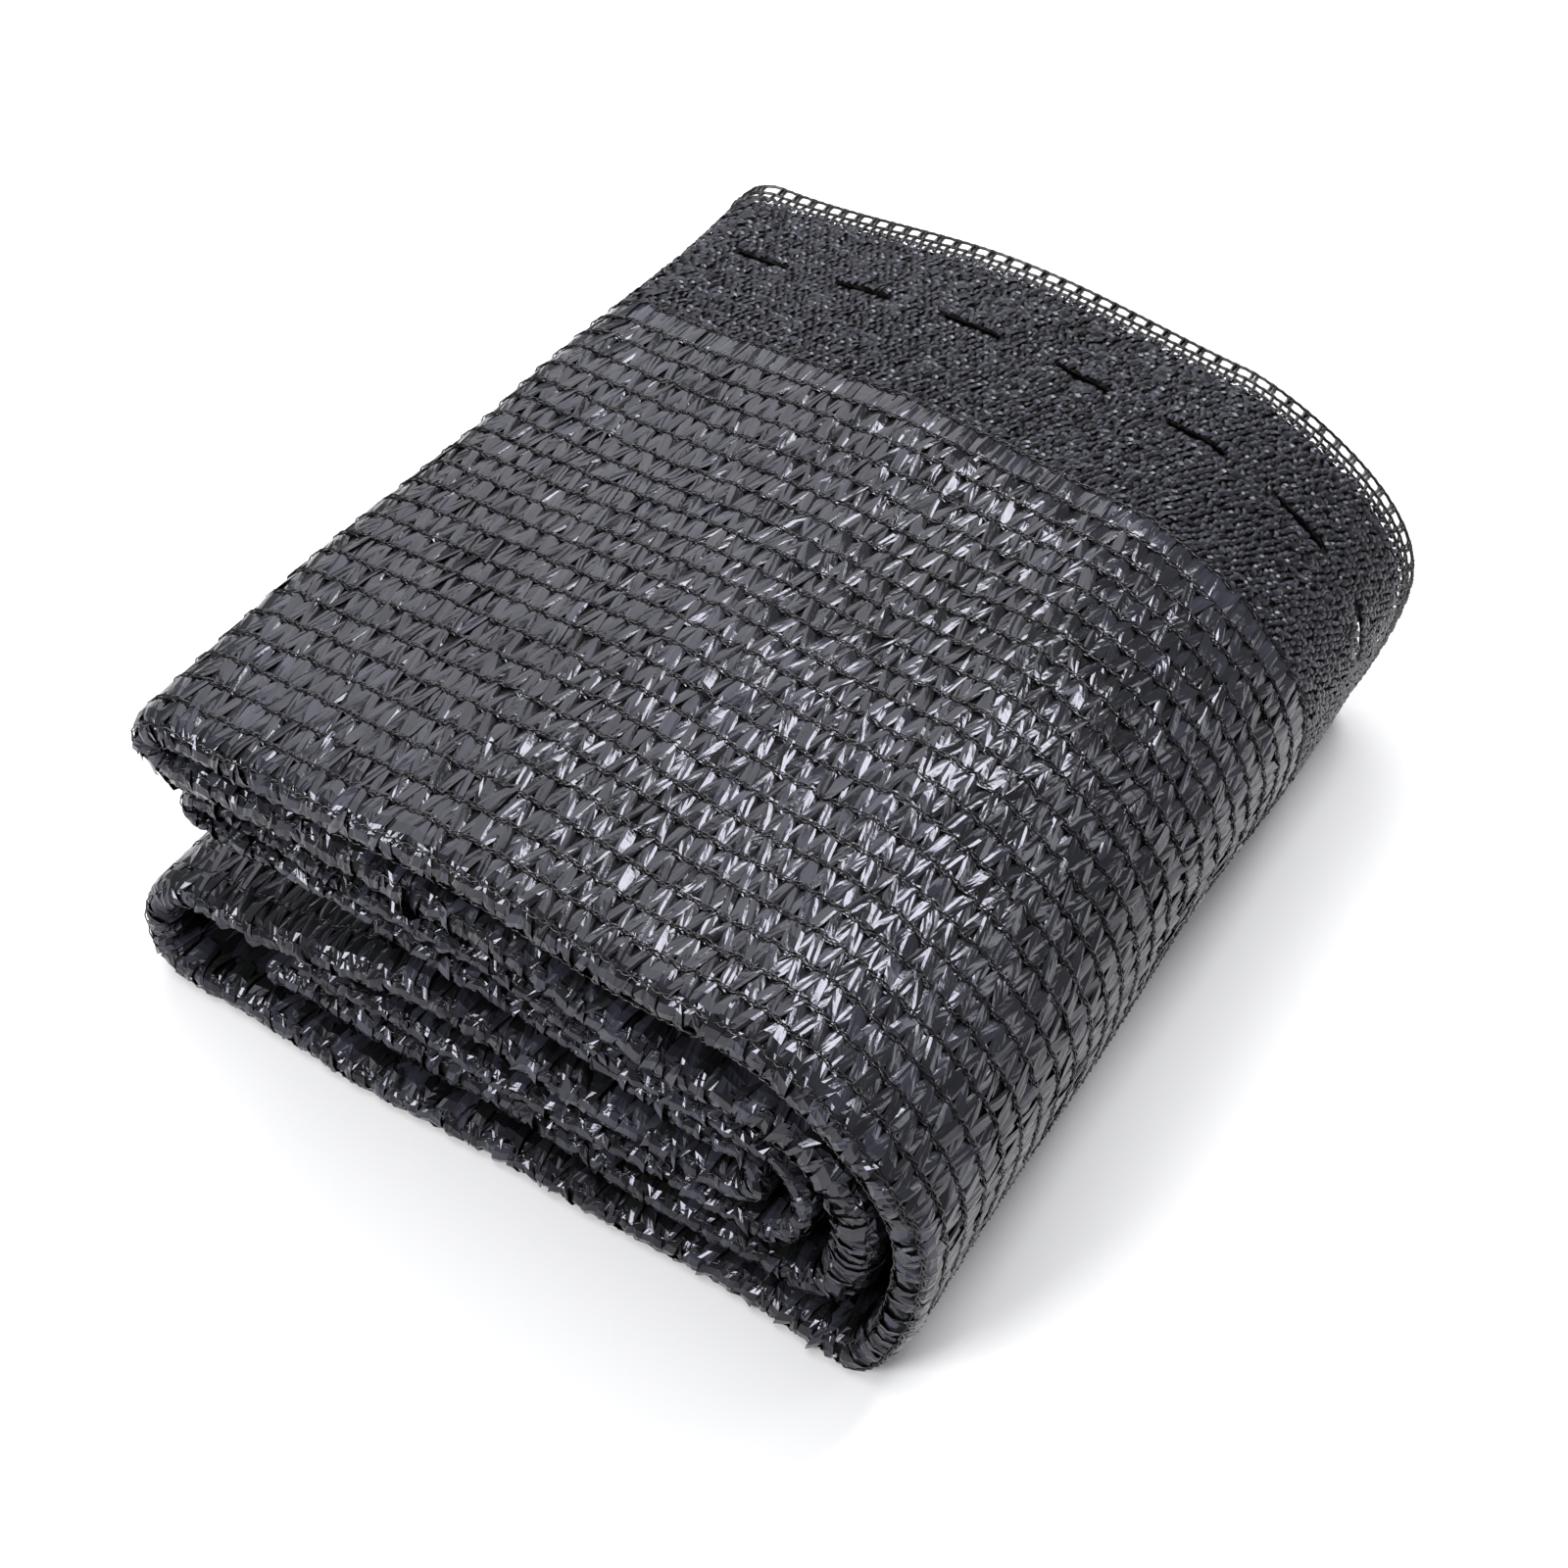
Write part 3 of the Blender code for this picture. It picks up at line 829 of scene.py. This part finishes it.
# %% The ladder edge, open to the light
# Three cords run along the edge, set in by so many millimetres. A rung starts at its shift along the
# strip, and goes from its inner place to its outer one, leaning a little. One row of rungs has the pitch
# of the Vs, and a closer one lies behind it.
RAILS = (0.6, 4.3, 6.9)
RAIL_RADIUS = 0.52
RAIL_SWAY = 0.4
RAIL_LIFT = 0.2
RUNG_RADIUS = 0.68
RUNG_LEAN = 0.1
RUNG_BOW = 0.35
RUNG_ROOT = RAILS[2] + 1.6
RUNG_COLUMNS = ("shift", "inner", "outer")
RUNGS = (
    (0.0, RAILS[1], RAILS[0]),
    (1.1, RAILS[1], RAILS[0]),
    (1.9, RUNG_ROOT, RAILS[1]),
    (4.5, RUNG_ROOT, RAILS[1]),
)


def cord_paths(ply):
    """Cords along the edge of one ply, swaying against each other."""
    s = np.arange(0.5, STRIP - 0.5, LEG_STEP / 2.0)
    paths = []
    for number, inset in enumerate(RAILS):
        swing = np.where((np.arange(len(s)) + number) % 2 == 0, 1.0, -1.0)
        t = ply * (PLY - inset) + RAIL_SWAY * swing
        paths.append(np.column_stack([s, t, RAIL_LIFT * np.roll(swing, 1)]))
    return paths


def rung_paths(ply):
    """Rungs between the cords of one ply."""
    paths = []
    for start in np.arange(V_PITCH, STRIP - V_PITCH, V_PITCH):
        for values in RUNGS:
            rung = dict(zip(RUNG_COLUMNS, values))
            s = start + rung["shift"]
            paths.append(np.array([
                [s, ply * (PLY - rung["inner"]), 0.0],
                [s + RUNG_BOW, ply * (PLY - (rung["inner"] + rung["outer"]) / 2.0), RUNG_BOW],
                [s + RUNG_LEAN, ply * (PLY - rung["outer"]), 0.0],
            ]))
    return paths


for ply, side in ((1, "upper"), (-1, "lower")):
    knit_pieces.append(strands(f"edge_cords_{side}", cord_paths(ply), RAIL_RADIUS, 4, yarn_finish))
    knit_pieces.append(strands(f"edge_rungs_{side}", rung_paths(ply), RUNG_RADIUS, 3, yarn_finish))

# %% [markdown]
# ## Floor, light and camera
#
# Black plastic shows only what it reflects, so the lamps are placed for the tapes. A small bright lamp
# stands behind the pack, where the camera's sight mirrors off the right of the top, and makes the bright
# flakes there. A broad dim one to its left gives the rest of the top its even grey, and one more overhead
# lights the tapes that tilt forward. A small one in front makes the sparkle on the folds, and a weak one
# on the right draws the outer wrap. A dim white room fills the shadows. The camera looks from the front
# right, as the picture does.

# %% Floor
bpy.ops.mesh.primitive_plane_add(size=6.0, location=(0.0, 0.0, 0.0))
floor = bpy.context.object
floor.name = "floor"
floor_finish, floor_tree, floor_shader = new_material("white card")
floor_shader.inputs["Base Color"].default_value = from_hex("fbfbfb")
floor_shader.inputs["Roughness"].default_value = 0.9
floor.data.materials.append(floor_finish)

# %% Light
# Columns: name, direction from the pack, distance and size in metres, power in watts.
LAMPS = (
    ("back lamp", (0.14, 0.52, 0.82), 1.6, 0.44, 11.5),
    ("back left lamp", (-0.5, 0.57, 0.69), 1.6, 1.1, 8.2),
    ("right lamp", (0.66, 0.55, 0.5), 1.6, 0.4, 1.8),
    ("top lamp", (-0.25, -0.1, 1.0), 1.6, 1.3, 11.0),
    ("front lamp", (-0.3, -0.75, 0.55), 1.8, 0.6, 22.0),
)


def add_lamp(name, towards, distance, size, power):
    """A square soft lamp in the direction `towards` from the pack, facing it."""
    data = bpy.data.lights.new(name, "AREA")
    data.shape = "SQUARE"
    data.size = size
    data.energy = power
    lamp = bpy.data.objects.new(name, data)
    direction = Vector(towards).normalized()
    lamp.location = direction * distance
    lamp.rotation_euler = direction.to_track_quat("Z", "Y").to_euler()
    bpy.context.scene.collection.objects.link(lamp)


for values in LAMPS:
    add_lamp(*values)
world = bpy.data.worlds.new("white room")
bpy.context.scene.world = world
world.use_nodes = True
world.node_tree.nodes["Background"].inputs["Color"].default_value = from_hex("f8f9ff")
world.node_tree.nodes["Background"].inputs["Strength"].default_value = 0.35
bpy.context.scene.view_settings.view_transform = "Standard"
print("lamps:", len(LAMPS))

# %% Camera, in the tables' millimetres
FOCAL_PIXELS = 2630.0
IMAGE_PIXELS = 1600.0
SENSOR_MM = 36.0
AZIMUTH = math.radians(28.34)
ELEVATION = math.radians(47.08)
ROLL = math.radians(5.0)
EYE_DISTANCE = 658.82
AIM = np.array([101.23, 119.71, 30.0])

level_forward = Vector((-math.sin(AZIMUTH), math.cos(AZIMUTH), 0.0))
forward = level_forward * math.cos(ELEVATION) - Vector((0.0, 0.0, math.sin(ELEVATION)))
level_right = Vector((math.cos(AZIMUTH), math.sin(AZIMUTH), 0.0))
level_up = level_right.cross(forward)
right = level_right * math.cos(ROLL) + level_up * math.sin(ROLL)
up = level_up * math.cos(ROLL) - level_right * math.sin(ROLL)
eye = Vector((AIM + PLACE) * MM) - forward * EYE_DISTANCE * MM
camera_data = bpy.data.cameras.new("camera")
camera_data.sensor_width = SENSOR_MM
camera_data.lens = SENSOR_MM * FOCAL_PIXELS / IMAGE_PIXELS
camera = bpy.data.objects.new("camera", camera_data)
bpy.context.scene.collection.objects.link(camera)
camera.matrix_world = Matrix.Translation(eye) @ Matrix((right, up, -forward)).transposed().to_4x4()
bpy.context.scene.camera = camera
print("camera at, m:", [round(v, 3) for v in eye])
